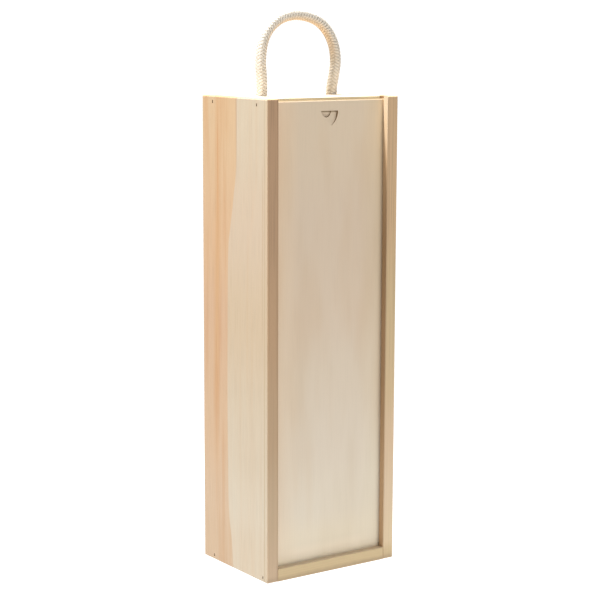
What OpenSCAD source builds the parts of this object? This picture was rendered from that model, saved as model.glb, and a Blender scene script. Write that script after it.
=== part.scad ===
// Wooden box for one wine bottle, with a lid that slides up and a rope handle.
// Origin at the middle of the base, X to the right, Y to the back, Z up.

/* [Box] */
// Width over both side boards
box_w = 120; // [104:1:170]
// Depth of the side boards, front to back
box_d = 90; // [78:1:140]
// Height of the side boards
box_h = 365; // [300:1:420]

/* [Boards] */
// Thickness of each side board
side_t = 10; // [9:0.5:14]
// Thickness of the top board
top_t = 10; // [8:0.5:14]
// Thickness of the bottom board, seen as the rail below the lid
bottom_t = 10; // [9:0.5:14]
// Radius of the eased outer edges
edge_r = 1; // [0.6:0.1:2]
// Radius of the eased inner edges, next to the lid
inner_edge_r = 0.5; // [0.3:0.1:1]

/* [Lid] */
// Thickness of the lid
lid_t = 4; // [3:0.5:5]
// How far the lid's face lies behind the front edges
lid_inset = 6; // [4:0.5:8]
// Depth of the groove in each board that the lid runs in
groove_depth = 4; // [3:0.5:5]
// Gap in front of the lid in its groove, seen as a dark line beside the lid
lid_play = 1; // [0.3:0.1:1.5]
// Clearance behind the lid in its groove
lid_clear = 0.25; // [0.15:0.05:0.4]
// Clearance between the lid's edges and the bottom of the grooves
lid_edge_clear = 0.4; // [0.3:0.1:1]
// How far the lid's upper edge stops below the top of the box
lid_drop = 2; // [0.5:0.5:3]
// Radius of the lid's eased upper front edge
lid_edge_r = 1.2; // [0.4:0.1:1.4]

/* [Thumb notch] */
// Distance from the lid's upper edge down to the notch
notch_drop = 8; // [6:0.5:14]
// Width of the notch along its straight upper edge
notch_w = 15.5; // [12:0.5:24]
// Height of the notch, from its tip to the straight edge
notch_h = 12; // [10:0.5:20]
// How far the tip lies to the right of the middle
notch_tip = 1.5; // [0:0.5:4]
// Depth of the slanting cut in the notch's upper right corner
notch_depth = 2; // [1:0.1:2.4]
// Radius of the arc that ends the slanting cut on the right
notch_arc_r = 13; // [12:0.5:24]
// Radius of the round pocket at the left of the notch
pocket_r = 4.8; // [3:0.1:6]
// Depth of the round pocket
pocket_depth = 1.9; // [1:0.1:2.4]

/* [Back panel] */
// Thickness of the back panel and depth of its rebate
panel_t = 4; // [3:0.5:6]
// Width of the rebate in each side board
rebate_w = 5; // [4:0.5:7]
// Gap between the panel's edge and the side of the rebate
panel_gap = 0.25; // [0.1:0.05:0.5]
// How far the panel stops short at the top and at the base
panel_short = 0.5; // [0.3:0.1:1]

/* [Rope] */
// Diameter of the rope
rope_d = 8.4; // [6:0.2:10]
// Clearance round the rope in its hole
hole_clear = 0.4; // [0.2:0.1:1]
// Width of the countersink at each mouth of a rope hole
hole_ease = 0.8; // [0.4:0.1:1.2]
// Distance from the box's back edge to the middle of the rope holes
rope_back = 41; // [30:1:60]
// Distance from each end of the top board to the middle of its rope hole
rope_inset = 17.5; // [16:0.5:24]
// Gap between the free loop's round ends and the top board
loop_gap = 0.3; // [0.3:0.05:0.5]
// Radius of the knot's turns, to the middle of the rope
knot_turn_r = 5.6; // [4.6:0.2:7]
// Distance between the middles of the knot's two turns
knot_turn_gap = 6; // [4:0.5:8]
// Length of the tail below the knot
tail_l = 12; // [6:1:20]

/* [Brads] */
// Length of a brad through a side board
side_brad_l = 26; // [20:1:35]
// Length of a brad through the back panel
back_brad_l = 16; // [12:1:20]
// Width of a brad's shank
brad_w = 1.2; // [1:0.1:1.4]
// Thickness of a brad's wire, and of its head
brad_t = 1; // [0.8:0.1:1.2]
// Width of a brad's head
brad_head_w = 2.2; // [1.8:0.1:2.6]
// Depth to which a brad's head is driven below the wood
brad_set = 0.4; // [0.2:0.1:0.8]
// Distance from the top of the box to the brads nearest it
brad_end = 4.5; // [3.5:0.5:5]
// Distance from the base to the brads nearest it
brad_low = 3.5; // [3:0.5:4.5]
// Distance from the top board's front edge to the first brad
brad_front = 4; // [3:0.5:10]
// Distance from the box's back edge to the rear brads
brad_back = 15; // [10:1:25]
// Distance from the bottom board's front edge to its first brad
brad_rail = 6; // [3:0.5:8]
// Number of brads down each side of the back panel
panel_brads = 4; // [3:1:6]
// Distance from the box's ends to the nearest brads down the back panel's sides
panel_brad_end = 32; // [20:1:50]
// Distance between the two brads across each end of the back panel
panel_brad_gap = 50; // [30:1:60]

/* [Hidden] */
$fn = 48;

pine = "#e6cfae";
plywood = "#dccbb2";
cotton = "#f1e8d9";
steel = "#a9a59c";

// Planes of the box
front_y = -box_d / 2;
back_y = box_d / 2;
inner_x = box_w / 2 - side_t;
lid_front_y = front_y + lid_inset;
lid_back_y = lid_front_y + lid_t;
groove_y = lid_front_y - lid_play;
groove_w = lid_t + lid_play + lid_clear;
panel_y = back_y - panel_t;
top_under_z = box_h - top_t;
top_front_y = lid_back_y + lid_clear;
groove_floor_z = bottom_t - groove_depth;
lid_foot_z = groove_floor_z + lid_edge_clear;
lid_top_z = box_h - lid_drop;
lid_w = 2 * (inner_x + groove_depth - lid_edge_clear);

// Cutters run this far past the faces that they cut
past = 1;
// Gap between each knot and the underside of the top board
knot_gap = 0.1;
// Lean of the knot's lower turn and tail, away from the bottle's neck
knot_lean = 18;
// Side clearance of a brad in its hole
brad_clear = 0.05;
// Length of a brad's chisel point
brad_point = 2;

rope_r = rope_d / 2;
rope_y = back_y - rope_back;
hole_r = rope_r + hole_clear;
hinge_z = box_h + rope_r + loop_gap;

// Route of the free loop seen from the front, as X and height above the swing axis
drawn_route = [
  [-32.5, 0], [-32.5, 6.5], [-33, 13.5], [-33.5, 20.5], [-33, 28], [-31.5, 35.5], [-28, 43],
  [-22, 49.5], [-13, 54.5], [-1.5, 56.5], [10.5, 55], [20.5, 51], [28, 44.5], [33, 36.5],
  [35.5, 28], [36, 20], [35, 12.5], [33.5, 5.5], [32.5, 0]
];
rope_sides = 12;
rings_per_step = 2;
dome_rings = 3;
right_rope_x = inner_x - rope_inset;
left_rope_x = -right_rope_x;
// The loop widens with the holes
widen = right_rope_x / drawn_route[len(drawn_route) - 1][0];
loop_route = [for (p = drawn_route) [widen * p[0], p[1]]];

// Depth, front to back, and height of every brad
side_brad_z = [brad_low, box_h - brad_end];
top_brad_y = [top_front_y + brad_front, back_y - brad_back];
bottom_brad_y = [front_y + brad_rail, back_y - brad_back];
panel_brad_step = (box_h - 2 * panel_brad_end) / (panel_brads - 1);
panel_side_x = inner_x + (rebate_w - panel_gap) / 2;
panel_end_x = panel_brad_gap / 2;

// Rectangle with its left corners rounded by r_left and its right corners by r_right
module eased_rect(w, h, r_left, r_right = 0) {
  translate([r_left, 0]) square([w - r_left - r_right, h]);
  translate([0, r_left]) square([w / 2, h - 2 * r_left]);
  translate([w / 2, r_right]) square([w / 2, h - 2 * r_right]);
  for (y = [r_left, h - r_left]) translate([r_left, y]) circle(r_left);
  if (r_right > 0) for (y = [r_right, h - r_right]) translate([w - r_right, y]) circle(r_right);
}

// Extrudes an outline drawn in Y and Z along X, from x to x + length
module along_x(x, length) {
  translate([x, 0, 0]) rotate([90, 0, 90]) linear_extrude(length) children();
}

// Wire brad with its head at the origin and its chisel point at length l along +X,
// grown by gap on every side to make its hole
module brad(l, gap = 0) {
  head = brad_head_w / 2 + gap;
  shank = brad_w / 2 + gap;
  translate([0, brad_t / 2 + gap, 0]) rotate([90, 0, 0]) linear_extrude(brad_t + 2 * gap)
    polygon([
      [0, -head], [brad_t + gap, -head], [brad_t + gap, -shank], [l - brad_point, -shank],
      [l + gap, 0], [l - brad_point, shank], [brad_t + gap, shank], [brad_t + gap, head], [0, head]
    ]);
}

// A hole for a brad, open to the surface that the brad was driven through
module brad_hole(l) {
  brad(l, brad_clear);
  mouth = brad_head_w + 2 * brad_clear;
  deep = brad_t + 2 * brad_clear;
  translate([-brad_set - past, -deep / 2, -mouth / 2]) cube([brad_set + past + brad_t, deep, mouth]);
}

// Places children at the brads of one side board's end, side -1 for left and 1 for right
module at_side_brads(side, ys, z) {
  for (y = ys)
    translate([side * (box_w / 2 - brad_set), y, z]) rotate([0, 0, side > 0 ? 180 : 0]) children();
}

// Places children at every brad through the back panel
module at_panel_brads() {
  depth = back_y - brad_set;
  for (side = [-1, 1]) {
    for (i = [0:panel_brads - 1])
      translate([side * panel_side_x, depth, panel_brad_end + i * panel_brad_step])
        rotate([0, 0, -90]) children();
    for (z = side_brad_z) translate([side * panel_end_x, depth, z]) rotate([0, 0, -90]) children();
  }
}

// A side board lying on the left, with its groove and rebate but no brad holes
module side_board_blank() {
  difference() {
    intersection() {
      translate([-box_w / 2, front_y, 0]) linear_extrude(box_h)
        eased_rect(side_t, box_d, edge_r, inner_edge_r);
      along_x(-box_w / 2, side_t) translate([front_y, 0])
        eased_rect(box_d, box_h, edge_r, edge_r);
      translate([-box_w / 2, back_y, 0]) rotate([90, 0, 0]) linear_extrude(box_d)
        eased_rect(side_t, box_h, edge_r);
    }
    translate([-inner_x - groove_depth, groove_y, -past])
      cube([groove_depth + past, groove_w, box_h + 2 * past]);
    translate([-inner_x - rebate_w, panel_y, -past])
      cube([rebate_w + past, panel_t + past, box_h + 2 * past]);
  }
}

module left_side_board() {
  color(pine) difference() {
    side_board_blank();
    at_side_brads(-1, bottom_brad_y, side_brad_z[0]) brad_hole(side_brad_l);
    at_side_brads(-1, top_brad_y, side_brad_z[1]) brad_hole(side_brad_l);
    at_panel_brads() brad_hole(back_brad_l);
  }
}

module right_side_board() {
  color(pine) difference() {
    mirror([1, 0, 0]) side_board_blank();
    at_side_brads(1, bottom_brad_y, side_brad_z[0]) brad_hole(side_brad_l);
    at_side_brads(1, top_brad_y, side_brad_z[1]) brad_hole(side_brad_l);
    at_panel_brads() brad_hole(back_brad_l);
  }
}

// Hole for the rope through the top board, countersunk at both mouths
module rope_hole(x) {
  translate([x, rope_y, top_under_z - past]) cylinder(h = top_t + 2 * past, r = hole_r);
  translate([x, rope_y, box_h - hole_ease])
    cylinder(h = hole_ease + past, r1 = hole_r, r2 = hole_r + hole_ease + past);
  translate([x, rope_y, top_under_z - past])
    cylinder(h = hole_ease + past, r1 = hole_r + hole_ease + past, r2 = hole_r);
}

module top_board() {
  color(pine) difference() {
    along_x(-inner_x, 2 * inner_x) translate([top_front_y, top_under_z])
      eased_rect(panel_y - top_front_y, top_t, inner_edge_r);
    for (x = [left_rope_x, right_rope_x]) rope_hole(x);
    for (side = [-1, 1]) at_side_brads(side, top_brad_y, side_brad_z[1]) brad_hole(side_brad_l);
    at_panel_brads() brad_hole(back_brad_l);
  }
}

module bottom_board() {
  color(pine) difference() {
    along_x(-inner_x, 2 * inner_x) difference() {
      translate([front_y, 0]) eased_rect(panel_y - front_y, bottom_t, inner_edge_r);
      translate([groove_y, groove_floor_z]) square([groove_w, groove_depth + past]);
    }
    for (side = [-1, 1])
      at_side_brads(side, bottom_brad_y, side_brad_z[0]) brad_hole(side_brad_l);
    at_panel_brads() brad_hole(back_brad_l);
  }
}

module back_panel() {
  half_w = inner_x + rebate_w - panel_gap;
  color(plywood) difference() {
    translate([-half_w, panel_y, panel_short]) cube([2 * half_w, panel_t, box_h - 2 * panel_short]);
    at_panel_brads() brad_hole(back_brad_l);
  }
}

// Two cuts that both stop at the notch's straight upper edge: one slants in from the left
// and ends at an arc on the right, and the other is a round pocket with a flat floor
module thumb_notch() {
  stop_z = lid_top_z - notch_drop;
  left_x = -notch_w / 2;
  run_out = atan((notch_w / 2 + notch_tip) / notch_h);
  slant = atan(notch_depth / (notch_w * cos(run_out)));
  intersection() {
    translate([left_x, lid_front_y - lid_inset, stop_z - 2 * notch_h])
      cube([2 * notch_w, lid_inset + lid_t, 2 * notch_h]);
    union() {
      intersection() {
        translate([notch_w / 2 - notch_arc_r, lid_front_y - past, stop_z]) rotate([-90, 0, 0])
          cylinder(h = notch_depth + 2 * past, r = notch_arc_r);
        translate([left_x, lid_front_y, stop_z]) rotate([0, -run_out, 0]) rotate([0, 0, slant])
          translate([-notch_w, -lid_inset, -2 * notch_h]) cube([3 * notch_w, lid_inset, 4 * notch_h]);
      }
      translate([left_x + pocket_r, lid_front_y - past, stop_z]) rotate([-90, 0, 0])
        cylinder(h = pocket_depth + past, r = pocket_r);
    }
  }
}

module sliding_lid() {
  color(plywood) difference() {
    along_x(-lid_w / 2, lid_w) translate([lid_front_y, lid_foot_z])
      eased_rect(lid_t, lid_top_z - lid_foot_z, lid_edge_r, lid_edge_r);
    thumb_notch();
  }
}

// Point at share t between b and c on a smooth curve through a, b, c and d
function smooth_point(a, b, c, d, t) =
  0.5 * (2 * b + (c - a) * t + (2 * a - 5 * b + 4 * c - d) * t * t
    + (3 * b - a - 3 * c + d) * t * t * t);

// The route's points with rings between them, its ends carried on straight
function smooth_route(p, n) = [
  for (i = [0:len(p) - 2])
    let (
      before = i > 0 ? p[i - 1] : 2 * p[0] - p[1],
      after = i < len(p) - 2 ? p[i + 2] : 2 * p[i + 1] - p[i]
    )
    for (k = [0:n - 1]) smooth_point(before, p[i], p[i + 1], after, k / n),
  p[len(p) - 1]
];

function unit(v) = v / norm(v);

// One ring of the rope: centre and direction in the loop's plane, and radius
function ring(at, along, r) = [
  for (k = [0:rope_sides - 1])
    let (a = 360 * k / rope_sides)
    [at[0] - along[1] * r * cos(a), r * sin(a), at[1] + along[0] * r * cos(a)]
];

// Rope swept along the route, with a dome on each end
module swept_rope(route, r) {
  line = smooth_route(route, rings_per_step);
  last = len(line) - 1;
  start = [0, 1];
  finish = [0, -1];
  rings = [
    for (k = [dome_rings:-1:1]) let (a = 90 * k / (dome_rings + 1))
      ring(line[0] - start * r * sin(a), start, r * cos(a)),
    for (i = [0:last])
      ring(line[i], i == 0 ? start : i == last ? finish : unit(line[i + 1] - line[i - 1]), r),
    for (k = [1:dome_rings]) let (a = 90 * k / (dome_rings + 1))
      ring(line[last] + finish * r * sin(a), finish, r * cos(a))
  ];
  first_pole = line[0] - start * r;
  last_pole = line[last] + finish * r;
  count = len(rings);
  polyhedron(
    points = concat(
      [for (one = rings) each one],
      [[first_pole[0], 0, first_pole[1]], [last_pole[0], 0, last_pole[1]]]
    ),
    faces = concat(
      [
        for (i = [0:count - 2]) for (k = [0:rope_sides - 1])
          let (a = i * rope_sides + k, b = i * rope_sides + (k + 1) % rope_sides)
          each [[a, a + rope_sides, b + rope_sides], [a, b + rope_sides, b]]
      ],
      [for (k = [0:rope_sides - 1]) [count * rope_sides, k, (k + 1) % rope_sides]],
      [
        for (k = [0:rope_sides - 1])
          let (a = (count - 1) * rope_sides)
          [count * rope_sides + 1, a + (k + 1) % rope_sides, a + k]
      ]
    )
  );
}

module rope_handle() {
  color(cotton) translate([0, rope_y, hinge_z]) swept_rope(loop_route, rope_r);
}

// The rope in its hole, with a stopper knot under the board and a tail that leans outward,
// side -1 for left and 1 for right
module rope_end(x, side) {
  upper_z = top_under_z - knot_gap - rope_r;
  lower_z = upper_z - knot_turn_gap;
  translate([x, rope_y, 0]) {
    translate([0, 0, lower_z]) cylinder(h = box_h - lower_z, r = rope_r);
    translate([0, 0, upper_z]) rotate_extrude() translate([knot_turn_r, 0]) circle(rope_r);
    translate([0, 0, lower_z]) rotate([0, -side * knot_lean, 0]) {
      rotate_extrude() translate([knot_turn_r - 1, 0]) circle(rope_r);
      translate([0, 0, -rope_r - tail_l]) cylinder(h = tail_l + rope_r, r = rope_r);
    }
  }
}

module left_rope_end() {
  color(cotton) rope_end(left_rope_x, -1);
}

module right_rope_end() {
  color(cotton) rope_end(right_rope_x, 1);
}

module left_top_brads() {
  color(steel) at_side_brads(-1, top_brad_y, side_brad_z[1]) brad(side_brad_l);
}

module left_bottom_brads() {
  color(steel) at_side_brads(-1, bottom_brad_y, side_brad_z[0]) brad(side_brad_l);
}

module right_top_brads() {
  color(steel) at_side_brads(1, top_brad_y, side_brad_z[1]) brad(side_brad_l);
}

module right_bottom_brads() {
  color(steel) at_side_brads(1, bottom_brad_y, side_brad_z[0]) brad(side_brad_l);
}

module back_panel_brads() {
  color(steel) at_panel_brads() brad(back_brad_l);
}

left_side_board();
right_side_board();
top_board();
bottom_board();
back_panel();
sliding_lid();
rope_handle();
left_rope_end();
right_rope_end();
left_top_brads();
left_bottom_brads();
right_top_brads();
right_bottom_brads();
back_panel_brads();
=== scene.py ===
import math

import bmesh
import bpy
import numpy as np
from mathutils import Matrix, Vector


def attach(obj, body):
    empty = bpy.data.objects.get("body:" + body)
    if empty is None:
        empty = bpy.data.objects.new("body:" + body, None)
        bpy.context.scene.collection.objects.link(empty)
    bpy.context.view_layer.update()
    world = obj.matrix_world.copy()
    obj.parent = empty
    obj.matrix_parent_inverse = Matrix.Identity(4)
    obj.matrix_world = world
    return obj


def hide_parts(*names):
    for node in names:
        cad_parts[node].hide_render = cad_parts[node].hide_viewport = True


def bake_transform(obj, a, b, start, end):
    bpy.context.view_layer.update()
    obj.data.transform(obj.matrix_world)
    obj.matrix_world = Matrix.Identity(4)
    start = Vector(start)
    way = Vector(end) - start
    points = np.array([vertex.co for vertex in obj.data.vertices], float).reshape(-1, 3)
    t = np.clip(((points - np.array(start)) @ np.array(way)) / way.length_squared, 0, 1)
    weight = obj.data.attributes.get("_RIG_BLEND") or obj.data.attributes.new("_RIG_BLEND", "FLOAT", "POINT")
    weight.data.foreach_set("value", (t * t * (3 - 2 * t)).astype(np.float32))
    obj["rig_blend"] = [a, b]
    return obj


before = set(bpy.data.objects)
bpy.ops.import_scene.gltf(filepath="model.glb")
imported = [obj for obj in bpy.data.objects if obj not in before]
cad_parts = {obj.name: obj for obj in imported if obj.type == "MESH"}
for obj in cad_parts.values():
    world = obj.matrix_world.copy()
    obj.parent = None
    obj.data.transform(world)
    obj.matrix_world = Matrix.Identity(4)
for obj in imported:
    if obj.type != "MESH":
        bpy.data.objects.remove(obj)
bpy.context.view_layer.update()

# Camera ---------------------------------------------------------------------------------
# A long lens, a little above the box and to its left, at the distance that gives the
# photographed edges. It looks 9 degrees down and leans 0.2 degrees.

CAMERA_SPOT = (-0.7594, -1.0936, 0.4213)
CAMERA_TURN, CAMERA_DOWN, CAMERA_LEAN = (math.radians(a) for a in (-34.8, 9.16, 0.19))
LEVEL = math.radians(90)

camera_data = bpy.data.cameras.new("camera")
camera_data.sensor_width = 36
camera_data.lens = 103.9
camera = bpy.data.objects.new("camera", camera_data)
bpy.context.scene.collection.objects.link(camera)
camera.matrix_world = (
    Matrix.Translation(CAMERA_SPOT)
    @ Matrix.Rotation(CAMERA_TURN, 4, "Z")
    @ Matrix.Rotation(LEVEL - CAMERA_DOWN, 4, "X")
    @ Matrix.Rotation(CAMERA_LEAN, 4, "Z")
)
bpy.context.scene.camera = camera

# Rope handle ----------------------------------------------------------------------------
# Undyed cotton cord, 8.4 mm, braided from 12 strands, six each way, two over and two under.
# Its ends go through holes in the top board and are knotted under it, and it is stiff
# enough to stand up as a lopsided loop.

MM = 0.001
BOARD_TOP = 0.365
SWING_Z = 0.3695
ROPE_X = 0.0325
ROPE_Y = 0.004
ROPE_RADIUS = 0.0042
IN_HOLE = 0.004
LOOP_ROUTE = [
    (-32.5, 0), (-32.5, 6.5), (-33, 13.5), (-33.5, 20.5), (-33, 28), (-31.5, 35.5), (-28, 43),
    (-22, 49.5), (-13, 54.5), (-1.5, 56.5), (10.5, 55), (20.5, 51), (28, 44.5), (33, 36.5),
    (35.5, 28), (36, 20), (35, 12.5), (33.5, 5.5), (32.5, 0),
]
STRANDS_EACH_WAY = 6
BRAID_LAY = 0.015
MEAN_HEIGHT = 0.75


def smooth_route(points, steps):
    """A Catmull-Rom curve through the points, its ends carried on straight."""
    p = [Vector(q) for q in points]
    p = [2 * p[0] - p[1], *p, 2 * p[-1] - p[-2]]
    line = []
    for a, b, c, d in zip(p, p[1:], p[2:], p[3:]):
        for k in range(steps):
            t = k / steps
            line.append(
                0.5 * (2 * b + (c - a) * t + (2 * a - 5 * b + 4 * c - d) * t * t
                       + (3 * b - a - 3 * c + d) * t ** 3)
            )
    return [*line, p[-2]]


def even_route(line, count):
    """The line's points spread evenly along it, as an array."""
    line = np.array([tuple(q) for q in line])
    at = np.concatenate([[0], np.cumsum(np.linalg.norm(np.diff(line, axis=0), axis=1))])
    return np.stack([np.interp(np.linspace(0, at[-1], count), at, line[:, i]) for i in range(3)], 1)


def braid_height(turn, along):
    """Height from 0 to 1 over a braid, and the place across the top strand, from -0.5 to 0.5."""
    u = STRANDS_EACH_WAY * (turn + along / BRAID_LAY)
    v = STRANDS_EACH_WAY * (turn - along / BRAID_LAY)
    i, j = np.floor(u), np.floor(v)
    over = (i + j) % 4 < 2
    across = np.where(over, u - i, v - j) - 0.5
    length = np.where(over, (v + i) % 4 / 2, ((u + j) % 4 - 2) / 2)
    crown = np.sqrt(np.clip(1 - (2 * across) ** 2, 0, 1))
    return crown * (0.6 + 0.4 * np.sin(math.pi * np.clip(length, 0, 1))), across


def braided(name, route, radius, rings, sides=128, relief=0.0005):
    """A braided cord along the route, as one closed tube, and some points of its centre line."""
    bm = bmesh.new()
    bm.loops.layers.uv.new("UVMap")
    bmesh.ops.create_grid(bm, x_segments=sides, y_segments=rings, size=0.5, calc_uvs=True)
    mesh = bpy.data.meshes.new(name)
    bm.to_mesh(mesh)
    bm.free()
    flat = np.empty(len(mesh.vertices) * 3)
    mesh.vertices.foreach_get("co", flat)
    turn, share = flat[0::3] + 0.5, flat[1::3] + 0.5

    line = even_route(route, rings + 1)
    along = np.gradient(line, axis=0)
    along /= np.linalg.norm(along, axis=1)[:, None]
    side = [np.cross((0, 1, 0), along[0])]
    side[0] /= np.linalg.norm(side[0])
    for a in along[1:]:
        s = side[-1] - a * np.dot(side[-1], a)
        side.append(s / np.linalg.norm(s))
    side = np.array(side)
    other = np.cross(along, side)

    row = np.clip(np.round(share * rings).astype(int), 0, rings)
    total = np.linalg.norm(np.diff(line, axis=0), axis=1).sum()
    height, across = braid_height(turn, share * total)
    reach = (radius + relief * (height - MEAN_HEIGHT))[:, None]
    angle = (2 * math.pi * turn)[:, None]
    place = line[row] + reach * (np.cos(angle) * side[row] + np.sin(angle) * other[row])
    mesh.vertices.foreach_set("co", place.ravel())
    inward = line.mean(axis=0) - line
    inward /= np.linalg.norm(inward, axis=1)[:, None]
    inside = ((place - line[row]) * inward[row]).sum(axis=1) / reach[:, 0]
    for label, values in (("height", height), ("across", across), ("inside", inside)):
        layer = mesh.attributes.new(label, "FLOAT", "POINT")
        layer.data.foreach_set("value", values.astype(np.float32))

    bm = bmesh.new()
    bm.from_mesh(mesh)
    bmesh.ops.remove_doubles(bm, verts=bm.verts, dist=MM / 1000)
    bmesh.ops.holes_fill(bm, edges=bm.edges, sides=0)
    bmesh.ops.recalc_face_normals(bm, faces=bm.faces)
    for face in bm.faces:
        face.smooth = True
    bm.to_mesh(mesh)
    bm.free()
    piece = bpy.data.objects.new(name, mesh)
    bpy.context.scene.collection.objects.link(piece)
    return piece, [tuple(q) for q in line[:: max(1, rings // 90)]]


def linear(tone):
    """A colour written #rrggbb in sRGB, or a grey that is linear already, as Blender takes it."""
    if not isinstance(tone, str):
        return [tone, tone, tone, 1]
    parts = [int(tone[k:k + 2], 16) / 255 for k in (1, 3, 5)]
    return [c / 12.92 if c <= 0.04045 else ((c + 0.055) / 1.055) ** 2.4 for c in parts] + [1]


def add(tree, kind, *values, out=0, stops=(), shape="EASE", **settings):
    """Adds a node with its settings and gives one of its outputs. The values, in the order of
    its inputs or by name in a dict, are set or linked. stops are a colour ramp's places and
    tones, and shape is how it runs between them."""
    node = tree.nodes.new("ShaderNode" + kind)
    for name, value in settings.items():
        setattr(node, name, value)
    named = values and isinstance(values[0], dict)
    for socket, value in values[0].items() if named else enumerate(values):
        if isinstance(value, bpy.types.NodeSocket):
            tree.links.new(value, node.inputs[socket])
        else:
            node.inputs[socket].default_value = linear(value) if isinstance(value, str) else value
    if stops:
        node.color_ramp.interpolation = shape
        marks = node.color_ramp.elements
        marks.remove(marks[1])
        for k, (place, tone) in enumerate(stops):
            mark = marks.new(place) if k else marks[0]
            mark.position = place
            mark.color = linear(tone)
    return node.outputs[out] if len(node.outputs) else None


def finish(name):
    """A new material, with its node tree, and its Principled shader."""
    material = bpy.data.materials.new(name)
    material.use_nodes = True
    tree = material.node_tree
    return material, tree, tree.nodes["Principled BSDF"]


def streaky(tree, where, scale, seed=0, detail=3.0):
    """Noise from 0 to 1 that is drawn out along the grain, with its own scale each way."""
    inputs = {"Vector": where, "Location": (seed, seed, seed), "Scale": scale}
    drawn = add(tree, "Mapping", inputs)
    return add(tree, "TexNoise", {"Vector": drawn, "Scale": 1.0, "Detail": detail}, out="Fac")


# Soft-spun cotton yarn, undyed: cream, matt, with a faint down. Yarns lie side by side in
# each strand, about 0.5 mm apart, and the hollows between strands are painted darker as
# shade. The inside of the loop's upper part is tinted golden as a painted reflection of
# warm light from the wood below.
YARNS_ACROSS = 4.5
DOWN_PER_METRE = 3500.0
BOUNCE_FROM, BOUNCE_TO = 0.385, 0.41

cotton, tree, skin = finish("undyed_cotton_braid")
place = add(tree, "TexCoord", out="Object")
height, across, inside = (
    add(tree, "Attribute", out="Fac", attribute_name=name) for name in ("height", "across", "inside")
)
# The tone by braid height paints shade: the low hollows between strands are darker.
tone = [(0.0, "#a79982"), (0.3, "#c8bca8"), (0.55, "#ddd4c6"), (0.85, "#e8e1d6")]
tone = add(tree, "ValToRGB", height, stops=tone)
mottle = streaky(tree, place, (90, 90, 90))
mottle = add(tree, "ValToRGB", mottle, stops=[(0.35, "#fbf9f5"), (0.65, "#e9e3d8")])
tone = add(tree, "MixRGB", 0.35, tone, mottle, blend_type="MULTIPLY")
# Painted reflected light: the inside of the loop's upper part, facing the wood below, is tinted golden.
up = add(tree, "SeparateXYZ", place, out="Z")
warm_bounce = add(tree, "MapRange", up, BOUNCE_FROM, BOUNCE_TO, 0.0, 0.7)
warm_bounce = add(tree, "Math", add(tree, "MapRange", inside, 0.0, 0.8), warm_bounce, operation="MULTIPLY")
tone = add(tree, "MixRGB", warm_bounce, tone, "#ecd0ab", blend_type="MULTIPLY")
tree.links.new(tone, skin.inputs["Base Color"])
yarn = add(tree, "Math", across, 2 * math.pi * YARNS_ACROSS, operation="MULTIPLY")
yarn = add(tree, "Math", yarn, operation="SINE")
down = {"Vector": place, "Scale": DOWN_PER_METRE, "Detail": 3.0}
down = add(tree, "TexNoise", down, out="Fac")
relief = add(tree, "Math", yarn, 0.35, down, operation="MULTIPLY_ADD")
bump = add(tree, "Bump", {"Height": relief, "Distance": 0.12 * MM, "Strength": 0.8})
tree.links.new(bump, skin.inputs["Normal"])
skin.inputs["Roughness"].default_value = 0.92
skin.inputs["Specular IOR Level"].default_value = 0.25
skin.inputs["Sheen Weight"].default_value = 0.12
skin.inputs["Sheen Roughness"].default_value = 0.5

loop = [(x * MM, ROPE_Y, SWING_Z + z * MM) for x, z in LOOP_ROUTE]
foot = BOARD_TOP - IN_HOLE
loop = [(loop[0][0], ROPE_Y, foot), *loop, (loop[-1][0], ROPE_Y, foot)]
rope, rope_path = braided("rope", smooth_route(loop, steps=12), ROPE_RADIUS, rings=690)
rope.data.materials.append(cotton)
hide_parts("rope_handle")
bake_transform(rope, "box", "handle", start=(0, ROPE_Y, 0.3645), end=(0, ROPE_Y, 0.382))

# Knots ----------------------------------------------------------------------------------
# Each end of the cord comes out under the top board, is tied in an overhand knot pulled
# tight against it, and is cut off 13 mm below the knot, where its yarns fray.

KNOT = [
    (0, 0, 13.5), (0, 0, 8), (-0.6, -0.8, 3), (-2.2, -4.8, -1.2), (-0.5, -6.6, -6.5),
    (3.6, -3.2, -9.8), (5.2, 2.4, -9.0), (3.2, 6.2, -5.0), (-1.2, 5.4, -1.6), (-5.0, 1.6, -3.2),
    (-5.4, -1.2, -8.2), (-2.6, -0.6, -13), (-0.8, 0.4, -17), (0.8, 0.6, -22), (2.2, 0.4, -26.5),
]
KNOT_TOP = BOARD_TOP - 0.0145
KNOTTED_RADIUS = 0.0037
GOLDEN_ANGLE = 2.4


def fray(mesh, spot, along, radius, count):
    """Loose yarns that fan out of a cord's cut end, within the radius."""
    bm = bmesh.new()
    bm.from_mesh(mesh)
    height = bm.verts.layers.float["height"]
    stand = Matrix.Translation(spot) @ along.to_track_quat("Z", "Y").to_matrix().to_4x4()
    for k in range(count):
        share = math.sqrt((k + 0.5) / count)
        length = 0.006 + 0.0015 * math.sin(7 * k)
        lean = 0.5 * share + 0.15 * math.sin(5 * k)
        root = Matrix.Rotation(GOLDEN_ANGLE * k, 4, "Z") @ Matrix.Translation((share * radius, 0, 0))
        out = Matrix.Rotation(lean, 4, "Y") @ Matrix.Translation((0, 0, 0.002))
        yarn = bmesh.ops.create_cone(
            bm, cap_ends=True, segments=6, radius1=0.0004, radius2=0.00025, depth=length,
            matrix=stand @ (root @ out),
        )
        for vert in yarn["verts"]:
            vert[height] = MEAN_HEIGHT
    bm.to_mesh(mesh)
    bm.free()


for side, label in ((-1, "left"), (1, "right")):
    tied = [(side * (ROPE_X + x * MM), ROPE_Y + y * MM, KNOT_TOP + z * MM) for x, y, z in KNOT]
    knot, _ = braided(
        f"{label}_knot", smooth_route(tied, steps=10), KNOTTED_RADIUS, rings=240, sides=80, relief=0.0006
    )
    tip = Vector(tied[-1])
    fray(knot.data, tip, tip - Vector(tied[-2]), radius=0.0031, count=40)
    knot.data.materials.append(cotton)
    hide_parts(f"{label}_rope_end")
    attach(knot, "box")

# Side boards ----------------------------------------------------------------------------
# Planed pine, 10 mm thick, one board a side, with its grain upright. The left board has
# orange heartwood along its back half and pale sapwood in front.

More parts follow.
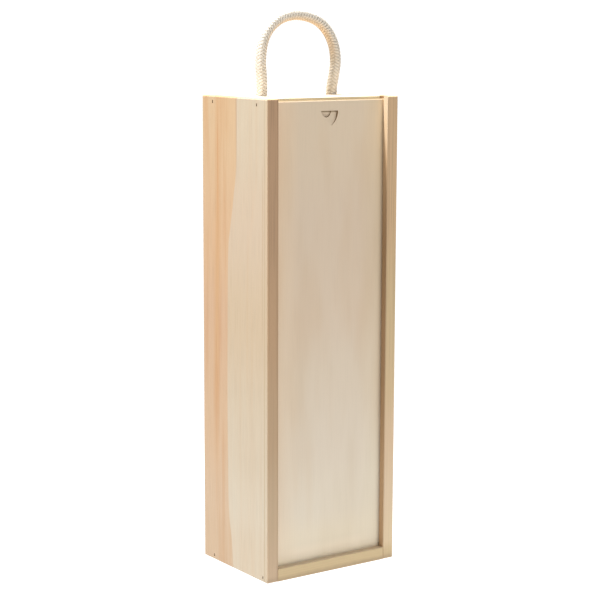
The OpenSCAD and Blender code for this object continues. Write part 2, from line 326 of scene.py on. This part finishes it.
UPRIGHT = (0, 0, 0)
ACROSS = (0, math.radians(90), 0)
INNER_X = 0.05
LATE_WOOD = "#c79a66"
END_GRAIN = "#c9a679"
ARRIS_SHADE = "#8a6a4a"


def rising(tree, up, stops):
    """A tone that changes with height. Each stop is a height in mm and a tone."""
    share = add(tree, "MapRange", up, 0.0, BOARD_TOP)
    return add(tree, "ValToRGB", share, stops=[(z / 365, tone) for z, tone in stops])


def pine(name, turn, pith, ring, seed, tones, edge, lip_shading=None, bend=None, streaks=()):
    """Planed pine, sawn from a log that turn lays along Z, with its pith at (x, y) mm and years
    ring mm wide. Tones are by height in mm. tones has the wood's from each radius outwards, edge
    the front edge's and lip those of the inner face in front of the groove. bend moves the
    heartwood's boundary by height. Each streak has a place in mm from the board's middle, a
    lean, half a width in mm, a colour and a strength by height."""
    material, tree, skin = finish(name)
    where = add(tree, "TexCoord", out="Object")
    x, y, z = (add(tree, "SeparateXYZ", where, out=k) for k in "XYZ")
    wide = add(tree, "Math", x, operation="ABSOLUTE")
    facing = add(tree, "NewGeometry", out="Normal")
    log = add(tree, "Mapping", {
        "Vector": where, "Location": (-pith[0], -pith[1], seed * 100), "Rotation": turn,
        "Scale": (1000, 1000, 1000),
    })

    # How far each point lies from the pith, in mm, in a trunk that isn't quite straight.
    if bend:
        sway = add(tree, "FloatCurve", {"Value": add(tree, "MapRange", z, 0.0, BOARD_TOP)})
        mapping = sway.node.mapping
        points = mapping.curves[0].points
        points[0].location, points[1].location = bend[0], bend[-1]
        for spot in bend[1:-1]:
            points.new(*spot)
        mapping.update()
        sway = {"Y": add(tree, "Math", sway, -24.0, 10.0, operation="MULTIPLY_ADD")}
    else:
        sway = streaky(tree, log, (0.02, 0.02, 0.005), seed, 2.0)
        sway = add(tree, "Math", sway, 3.0, operation="MULTIPLY")
        sway = {"X": sway, "Y": sway}
    bent = add(tree, "VectorMath", log, add(tree, "CombineXYZ", sway), operation="ADD")
    bent = add(tree, "VectorMath", bent, (1, 1, 0), operation="MULTIPLY")
    radius = add(tree, "VectorMath", bent, out="Value", operation="LENGTH")

    # Heartwood and sapwood, darker streaks, and the broad figure of the grain, which shows
    # most in the wood within 111 mm of the pith.
    tone = rising(tree, z, tones[0][1])
    for limit, stops in tones[1:]:
        outer = add(tree, "MapRange", radius, limit - 0.5, limit + 0.5)
        tone = add(tree, "MixRGB", outer, tone, rising(tree, z, stops))
    for start, slope, half, code, strength in streaks:
        off = add(tree, "Math", z, -slope, y, operation="MULTIPLY_ADD")
        off = add(tree, "Math", off, start * MM, operation="SUBTRACT")
        off = add(tree, "Math", off, half * MM, operation="DIVIDE")
        off = add(tree, "Math", off, operation="ABSOLUTE")
        near = add(tree, "ValToRGB", off, stops=[(0.0, 1.0), (1.0, 0.0)])
        near = add(tree, "Math", near, rising(tree, z, strength), operation="MULTIPLY")
        tone = add(tree, "MixRGB", near, tone, code)
    figure = streaky(tree, log, (0.16, 0.16, 0.006), seed)
    figure = add(tree, "ValToRGB", figure, stops=[(0.36, "#f3dcc4"), (0.55, "#ffffff")])
    figured = add(tree, "MapRange", radius, 112.0, 110.0, 0.15, 0.45)
    tone = add(tree, "MixRGB", figured, tone, figure, blend_type="MULTIPLY")

    # Years, some wide and some narrow, each ending in a line of dark late wood that is
    # strongest on end grain.
    uneven = {"W": radius, "Scale": 0.3, "Detail": 1.0}
    uneven = add(tree, "TexNoise", uneven, out="Fac", noise_dimensions="1D")
    year = add(tree, "Math", radius, ring, operation="DIVIDE")
    year = add(tree, "Math", uneven, 2.5, year, operation="MULTIPLY_ADD")
    year = add(tree, "Math", year, operation="FRACT")
    late = [(0.0, 0.0), (0.35, 0.02), (0.78, 0.5), (0.92, 1.0), (1.0, 0.0)]
    late = add(tree, "ValToRGB", year, stops=late)
    endwise = {"Vector": facing, "Rotation": turn}
    endwise = add(tree, "Mapping", endwise, vector_type="VECTOR")
    endwise = add(tree, "SeparateXYZ", endwise, out="Z")
    endwise = add(tree, "Math", endwise, operation="ABSOLUTE")
    is_end = add(tree, "MapRange", endwise, 0.6, 0.9)
    drawn = add(tree, "Math", is_end, 0.45, 0.1, operation="MULTIPLY_ADD")
    drawn = add(tree, "Math", late, drawn, operation="MULTIPLY")
    tone = add(tree, "MixRGB", drawn, tone, LATE_WOOD)

    # Fine fibres along the board, and the duller tone of end grain.
    fibre = streaky(tree, log, (2.2, 2.2, 0.035), detail=4.0)
    fine = add(tree, "ValToRGB", fibre, stops=[(0.3, 0.72), (0.5, 0.98), (0.7, 1.0)])
    tone = add(tree, "MixRGB", 0.4, tone, fine, blend_type="MULTIPLY")
    dull = add(tree, "Math", is_end, 0.45, operation="MULTIPLY")
    tone = add(tree, "MixRGB", dull, tone, END_GRAIN)

    # The front edge, with lines of grain, and a painted shade line where its arris meets the lid.
    grain = streaky(tree, log, (0.8, 0, 0.009), seed)
    grain = add(tree, "ValToRGB", grain, stops=[(0.4, 0.8), (0.52, 1.0)])
    clear = add(tree, "MapRange", z, 0.1, 0.36, 0.2, 0.9)
    # The edge tones by height are partly the wood's colour and partly painted light: lighter low down, where
    # the table lights the edge, and darker at the very foot as painted shade.
    front = add(tree, "MixRGB", clear, rising(tree, z, edge), grain, blend_type="MULTIPLY")
    # Painted shade: a dark line on the front face beside the slot before the lid, fading over 1.6 mm from
    # its inner arris.
    arris_shade = add(tree, "MapRange", wide, INNER_X + 0.0016, INNER_X + 0.0004, 0.0, 0.3)
    arris = add(tree, "MapRange", wide, INNER_X - 0.0002, INNER_X)
    arris_shade = add(tree, "Math", arris_shade, arris, operation="MULTIPLY")
    front = add(tree, "MixRGB", arris_shade, front, ARRIS_SHADE)
    is_front = add(tree, "MapRange", add(tree, "SeparateXYZ", facing, out="Y"), -0.6, -0.9)
    tone = add(tree, "MixRGB", is_front, tone, front)
    # Painted shade on the inner face in front of the groove: the lip tones darken it where the slot beside
    # the lid is shaded, and on the right board leave it paler near the top, where light reaches it.
    if lip_shading:
        inner = add(tree, "MapRange", wide, INNER_X + 0.0006, INNER_X + 0.0002)
        before_groove = add(tree, "MapRange", y, -0.0396, -0.0399)
        inner = add(tree, "Math", inner, before_groove, operation="MULTIPLY")
        tone = add(tree, "MixRGB", inner, tone, rising(tree, z, lip_shading))
    tree.links.new(tone, skin.inputs["Base Color"])

    relief = add(tree, "Math", late, 0.6, fibre, operation="MULTIPLY_ADD")
    bump = add(tree, "Bump", {"Height": relief, "Distance": 0.08 * MM, "Strength": 0.6})
    tree.links.new(bump, skin.inputs["Normal"])
    sheen = add(tree, "MapRange", fibre, 0.0, 1.0, 0.62, 0.5)
    tree.links.new(sheen, skin.inputs["Roughness"])
    return material


def dress(material, *nodes):
    """Gives CAD nodes a material."""
    for node in nodes:
        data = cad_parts[node].data
        data.materials.clear()
        data.materials.append(material)


# The left board is flat-sawn. The boundary of its heartwood bends toward the back below the
# middle, one straight orange streak runs down the heartwood, and the front arris has a painted highlight.
left_pine = pine(
    "planed_pine_left", UPRIGHT, pith=(5, 90), ring=2.6, seed=1,
    tones=[
        (0, [(20, "#bfa486"), (50, "#c2a78a"), (110, "#c3a484"), (200, "#c19f7f"), (250, "#c4a27f"),
             (350, "#c4a682")]),
        (111, [(20, "#c4b59e"), (50, "#c5b8a3"), (100, "#c2b39c"), (200, "#bfaa8e"), (270, "#c1ad95"),
               (350, "#c1b199")]),
    ],
    bend=[(0.0, 0.52), (0.055, 0.596), (0.137, 0.779), (0.247, 0.817), (0.356, 0.833), (0.575, 0.804),
          (0.685, 0.758), (0.726, 0.654), (0.795, 0.446), (0.877, 0.279), (0.959, 0.275), (1.0, 0.275)],
    streaks=[
        (28.1, -0.0175, 6.5, "#c0976d", [(0, 0.0), (60, 0.1), (110, 0.4), (150, 0.85), (250, 1.0),
                                         (320, 0.7), (360, 0.4)]),
        (23.0, 0.0, 1.2, "#bb8a5c", [(250, 0.0), (290, 0.7), (330, 0.7), (350, 0.0)]),
        (-3.2, 0.0, 1.5, "#b09073", [(290, 0.0), (325, 0.5), (360, 0.8)]),
        (10.0, 0.0, 9.0, "#bf9569", [(325, 0.0), (345, 0.25), (365, 0.25)]),
        (-38.6, 0.0, 0.9, "#b19a7c", [(170, 0.0), (200, 0.6), (300, 0.6), (330, 0.0)]),
        (-41.4, 0.0, 1.4, "#b09a7a", [(0, 0.7), (200, 0.6), (360, 0.5)]),
        # A painted highlight: a pale band along the front arris.
        (-43.8, 0.0, 1.2, "#ccb38f", [(0, 0.4), (200, 0.3), (300, 0.7), (360, 0.7)]),
    ],
    # The front edge's tones are partly painted light: lighter low down, and darker at the foot as painted
    # shade.
    edge=[(0, "#b89d7e"), (6, "#caae8e"), (50, "#c5aa89"), (120, "#be9f7c"), (200, "#bf9b76"),
          (280, "#b99572"), (350, "#bb9673")],
    # The left lip's tones are darker than the board, as painted shade.
    lip_shading=[(0, "#b7946d"), (360, "#b08c66")],
)
dress(left_pine, "left_side_board")

# The right board is plain sapwood, paler and yellower.
right_pine = pine(
    "planed_pine_right", UPRIGHT, pith=(-10, 95), ring=2.4, seed=3,
    tones=[(0, [(0, "#e4cbaa"), (365, "#e2ccae")])],
    # The front edge's tones are partly painted light: lighter low down, and darker at the foot as painted
    # shade.
    edge=[(0, "#b59b77"), (6, "#d4ba8f"), (16, "#e1c8a3"), (50, "#e1c7a5"), (100, "#dfc19d"),
          (140, "#d8bc92"), (200, "#d4b98d"), (280, "#d2af85"), (350, "#d1ae85")],
    # The right lip's tones are painted shade through the middle height and painted light near the top.
    lip_shading=[(60, "#c4a079"), (160, "#b08d69"), (250, "#a88662"), (310, "#bd9d78"), (340, "#d6bb98"),
         (365, "#dfc6a6")],
)
dress(right_pine, "right_side_board")

# Top and bottom boards ------------------------------------------------------------------
# The same pine, cut across between the sides, with its grain from left to right. The bottom
# board's front edge is the rail below the lid.

rail_pine = pine(
    "planed_pine_rail", ACROSS, pith=(60, 20), ring=2.2, seed=5,
    tones=[(0, [(0, "#ecd8bb"), (365, "#ecdcc4")])],
    # The rail's edge is darker at its foot, as painted shade.
    edge=[(0, "#b59b77"), (5, "#d2b98d"), (300, "#fbeec9")],
)
dress(rail_pine, "top_board", "bottom_board")

# Sliding lid and back panel -------------------------------------------------------------
# Pale three-ply, 4 mm thick, sanded. The lid slides up in its grooves and has a thumb notch
# cut with two strokes of a gouge, and the back is nailed into its rebates.

PLY_THICKNESS = 0.004
FIBRES_PER_METRE = 1500


def plywood(name, face_y, seed, middle, left, right, corner_z=None):
    """Three-ply whose front face lies at face_y metres: two upright veneers on a cross core. The
    veneer's tones are given by height, for its middle and for its two sides, and are partly its
    own colour and partly painted light. A painted shadow darkens the notch just under its upper
    edge at corner_z."""
    material, tree, skin = finish(name)
    where = add(tree, "TexCoord", out="Object")
    x, y, z = (add(tree, "SeparateXYZ", where, out=k) for k in "XYZ")
    at_left = add(tree, "MapRange", x, -0.026, -0.046)
    at_right = add(tree, "MapRange", x, 0.028, 0.049)
    tone = add(tree, "MixRGB", at_left, rising(tree, z, middle), rising(tree, z, left))
    tone = add(tree, "MixRGB", at_right, tone, rising(tree, z, right))
    flow = streaky(tree, where, (26, 26, 5), seed)
    flow = add(tree, "ValToRGB", flow, stops=[(0.3, "#f7efe4"), (0.5, "#ffffff"), (0.7, "#f7f4ee")])
    tone = add(tree, "MixRGB", 0.6, tone, flow, blend_type="MULTIPLY")
    fibre = streaky(tree, where, (FIBRES_PER_METRE, FIBRES_PER_METRE, 40), seed)
    fine = add(tree, "ValToRGB", fibre, stops=[(0.3, 0.8), (0.55, 1.0)])
    tone = add(tree, "MixRGB", 0.12, tone, fine, blend_type="MULTIPLY")

    # Cut edges and the notch show the core, dark with end grain, between two lines of glue.
    depth = add(tree, "MapRange", y, face_y, face_y + PLY_THICKNESS)
    core = [(0.0, 0.0), (0.29, 0.0), (0.31, 1.0), (0.69, 1.0), (0.71, 0.0), (1.0, 0.0)]
    core = add(tree, "ValToRGB", depth, stops=core, shape="LINEAR")
    glue = [(0.0, 0.0), (0.27, 0.0), (0.3, 1.0), (0.33, 0.0), (0.67, 0.0), (0.7, 1.0), (0.73, 0.0)]
    glue = add(tree, "ValToRGB", depth, stops=glue, shape="LINEAR")
    glue = add(tree, "Math", glue, 0.6, operation="MULTIPLY")
    pores = streaky(tree, where, (60, FIBRES_PER_METRE, FIBRES_PER_METRE), seed)
    pores = add(tree, "ValToRGB", pores, stops=[(0.3, "#876a47"), (0.6, "#997c56")])
    edge = add(tree, "MixRGB", core, "#a1835f", pores)
    edge = add(tree, "MixRGB", glue, edge, "#6d543a")
    facing = add(tree, "SeparateXYZ", add(tree, "NewGeometry", out="Normal"), out="Y")
    cut = add(tree, "MapRange", add(tree, "Math", facing, operation="ABSOLUTE"), 0.75, 0.5)
    tone = add(tree, "MixRGB", cut, tone, edge)
    # Painted shadow: a dark band in the notch just under its upper edge, where the overhang shades it.
    if corner_z:
        notch_shadow = add(tree, "MapRange", z, corner_z - 0.0016, corner_z - 0.0005)
        sunk = add(tree, "MapRange", y, face_y + 0.00025, face_y + 0.0005)
        notch_shadow = add(tree, "Math", notch_shadow, sunk, operation="MULTIPLY")
        tone = add(tree, "MixRGB", notch_shadow, tone, "#8f7856")
    tree.links.new(tone, skin.inputs["Base Color"])
    bump = add(tree, "Bump", {"Height": fibre, "Distance": 0.05 * MM, "Strength": 0.5})
    tree.links.new(bump, skin.inputs["Normal"])
    skin.inputs["Roughness"].default_value = 0.58
    return material


# The lid's tones by height and side are partly the veneer's colour and partly painted light: lighter toward
# the foot, most of all in its lowest 15 mm above the rail's shade, lighter low at the right against the
# right lip's shadow, and warmer and lighter at the left as a painted reflection of the left lip.
lid_ply = plywood(
    "sanded_plywood_lid", face_y=-0.039, seed=0.3,
    middle=[(10, "#fff2d8"), (16, "#f4e4ca"), (25, "#eadcc3"), (50, "#e6d9c4"), (100, "#e3d4bf"),
            (150, "#e2d1ba"), (200, "#e1cdb5"), (270, "#dfcab1"), (345, "#e2cdb1")],
    left=[(10, "#fff0d2"), (18, "#f0dec3"), (60, "#e8d5bb"), (150, "#e8d2b5"), (250, "#e9cfaf"),
          (340, "#f0d4b3")],
    right=[(10, "#fff3da"), (18, "#f4ead4"), (60, "#efe5d0"), (150, "#e6d4b8"), (250, "#dfcaab"),
           (345, "#e4cdaa")],
    corner_z=0.3551,
)
dress(lid_ply, "sliding_lid")
back_ply = plywood(
    "sanded_plywood_back", face_y=0.041, seed=1.7,
    middle=[(0, "#dfcab1"), (365, "#e1ccaf")],
    left=[(0, "#e1ccaf"), (365, "#dcc4a4")],
    right=[(0, "#dcc6a8"), (365, "#e2cfb5")],
)
dress(back_ply, "back_panel")

# Brads ----------------------------------------------------------------------------------
# Drawn steel wire, dulled to a dark brownish grey, fired in a little below the wood.

wire, tree, skin = finish("drawn_steel_wire")
place = add(tree, "TexCoord", out="Object")
film = add(tree, "TexNoise", {"Vector": place, "Scale": 1200.0, "Detail": 3.0}, out="Fac")
film = add(tree, "ValToRGB", film, stops=[(0.3, "#2b2723"), (0.7, "#4a443d")])
tree.links.new(film, skin.inputs["Base Color"])
skin.inputs["Metallic"].default_value = 0.9
skin.inputs["Roughness"].default_value = 0.45
dress(wire, "left_top_brads", "left_bottom_brads", "right_top_brads", "right_bottom_brads",
      "back_panel_brads")

# Floor and light ------------------------------------------------------------------------
# A white table lit from below, brightest round the box, in a dim white room. A wide soft
# light hangs behind the box, a narrow one stands at its left, a little behind its front, and
# a weak one in front fills the shadows on the lid.

ROOM_GLOW, ROOM_SEEN = 0.13, 1.1

bm = bmesh.new()
bmesh.ops.create_grid(bm, x_segments=1, y_segments=1, size=4)
floor_mesh = bpy.data.meshes.new("floor")
bm.to_mesh(floor_mesh)
bm.free()
floor = bpy.data.objects.new("floor", floor_mesh)
bpy.context.scene.collection.objects.link(floor)
white, tree, skin = finish("white_table")
skin.inputs["Base Color"].default_value = linear("#303030")
skin.inputs["Roughness"].default_value = 1
skin.inputs["Specular IOR Level"].default_value = 0
skin.inputs["Emission Color"].default_value = (1, 1, 1, 1)
place = add(tree, "TexCoord", out="Object")
far = add(tree, "VectorMath", place, out="Value", operation="LENGTH")
glow = add(tree, "MapRange", far, 0.1, 0.5, 1.4, 1.05, interpolation_type="SMOOTHSTEP")
tree.links.new(glow, skin.inputs["Emission Strength"])
floor_mesh.materials.append(white)

world = bpy.data.worlds.new("white_room")
world.use_nodes = True
tree = world.node_tree
tree.nodes.clear()
seen = add(tree, "LightPath", out="Is Camera Ray")
strength = add(tree, "MapRange", seen, 0.0, 1.0, ROOM_GLOW, ROOM_SEEN)
sky = add(tree, "Background", {"Color": (1, 1, 1, 1), "Strength": strength})
add(tree, "OutputWorld", {"Surface": sky})
bpy.context.scene.world = world


def softbox(name, spot, target, size, power):
    """A square light that faces the target."""
    data = bpy.data.lights.new(name, "AREA")
    data.size = size
    data.energy = power
    light = bpy.data.objects.new(name, data)
    bpy.context.scene.collection.objects.link(light)
    aim = (Vector(spot) - Vector(target)).to_track_quat("Z", "Y")
    light.matrix_world = Matrix.Translation(spot) @ aim.to_matrix().to_4x4()


softbox("top_light", spot=(0, 0.6, 3.0), target=(0, 0, 0.2), size=0.8, power=190)
softbox("left_light", spot=(-1.25, 0.061, 1.4), target=(0, 0, 0.2), size=0.05, power=28.5)
softbox("front_light", spot=(0.45, -1.6, 0.9), target=(0, 0, 0.15), size=0.8, power=8)

view = bpy.context.scene.view_settings
view.view_transform = "Standard"
view.look = "None"
view.exposure = 0
view.gamma = 1
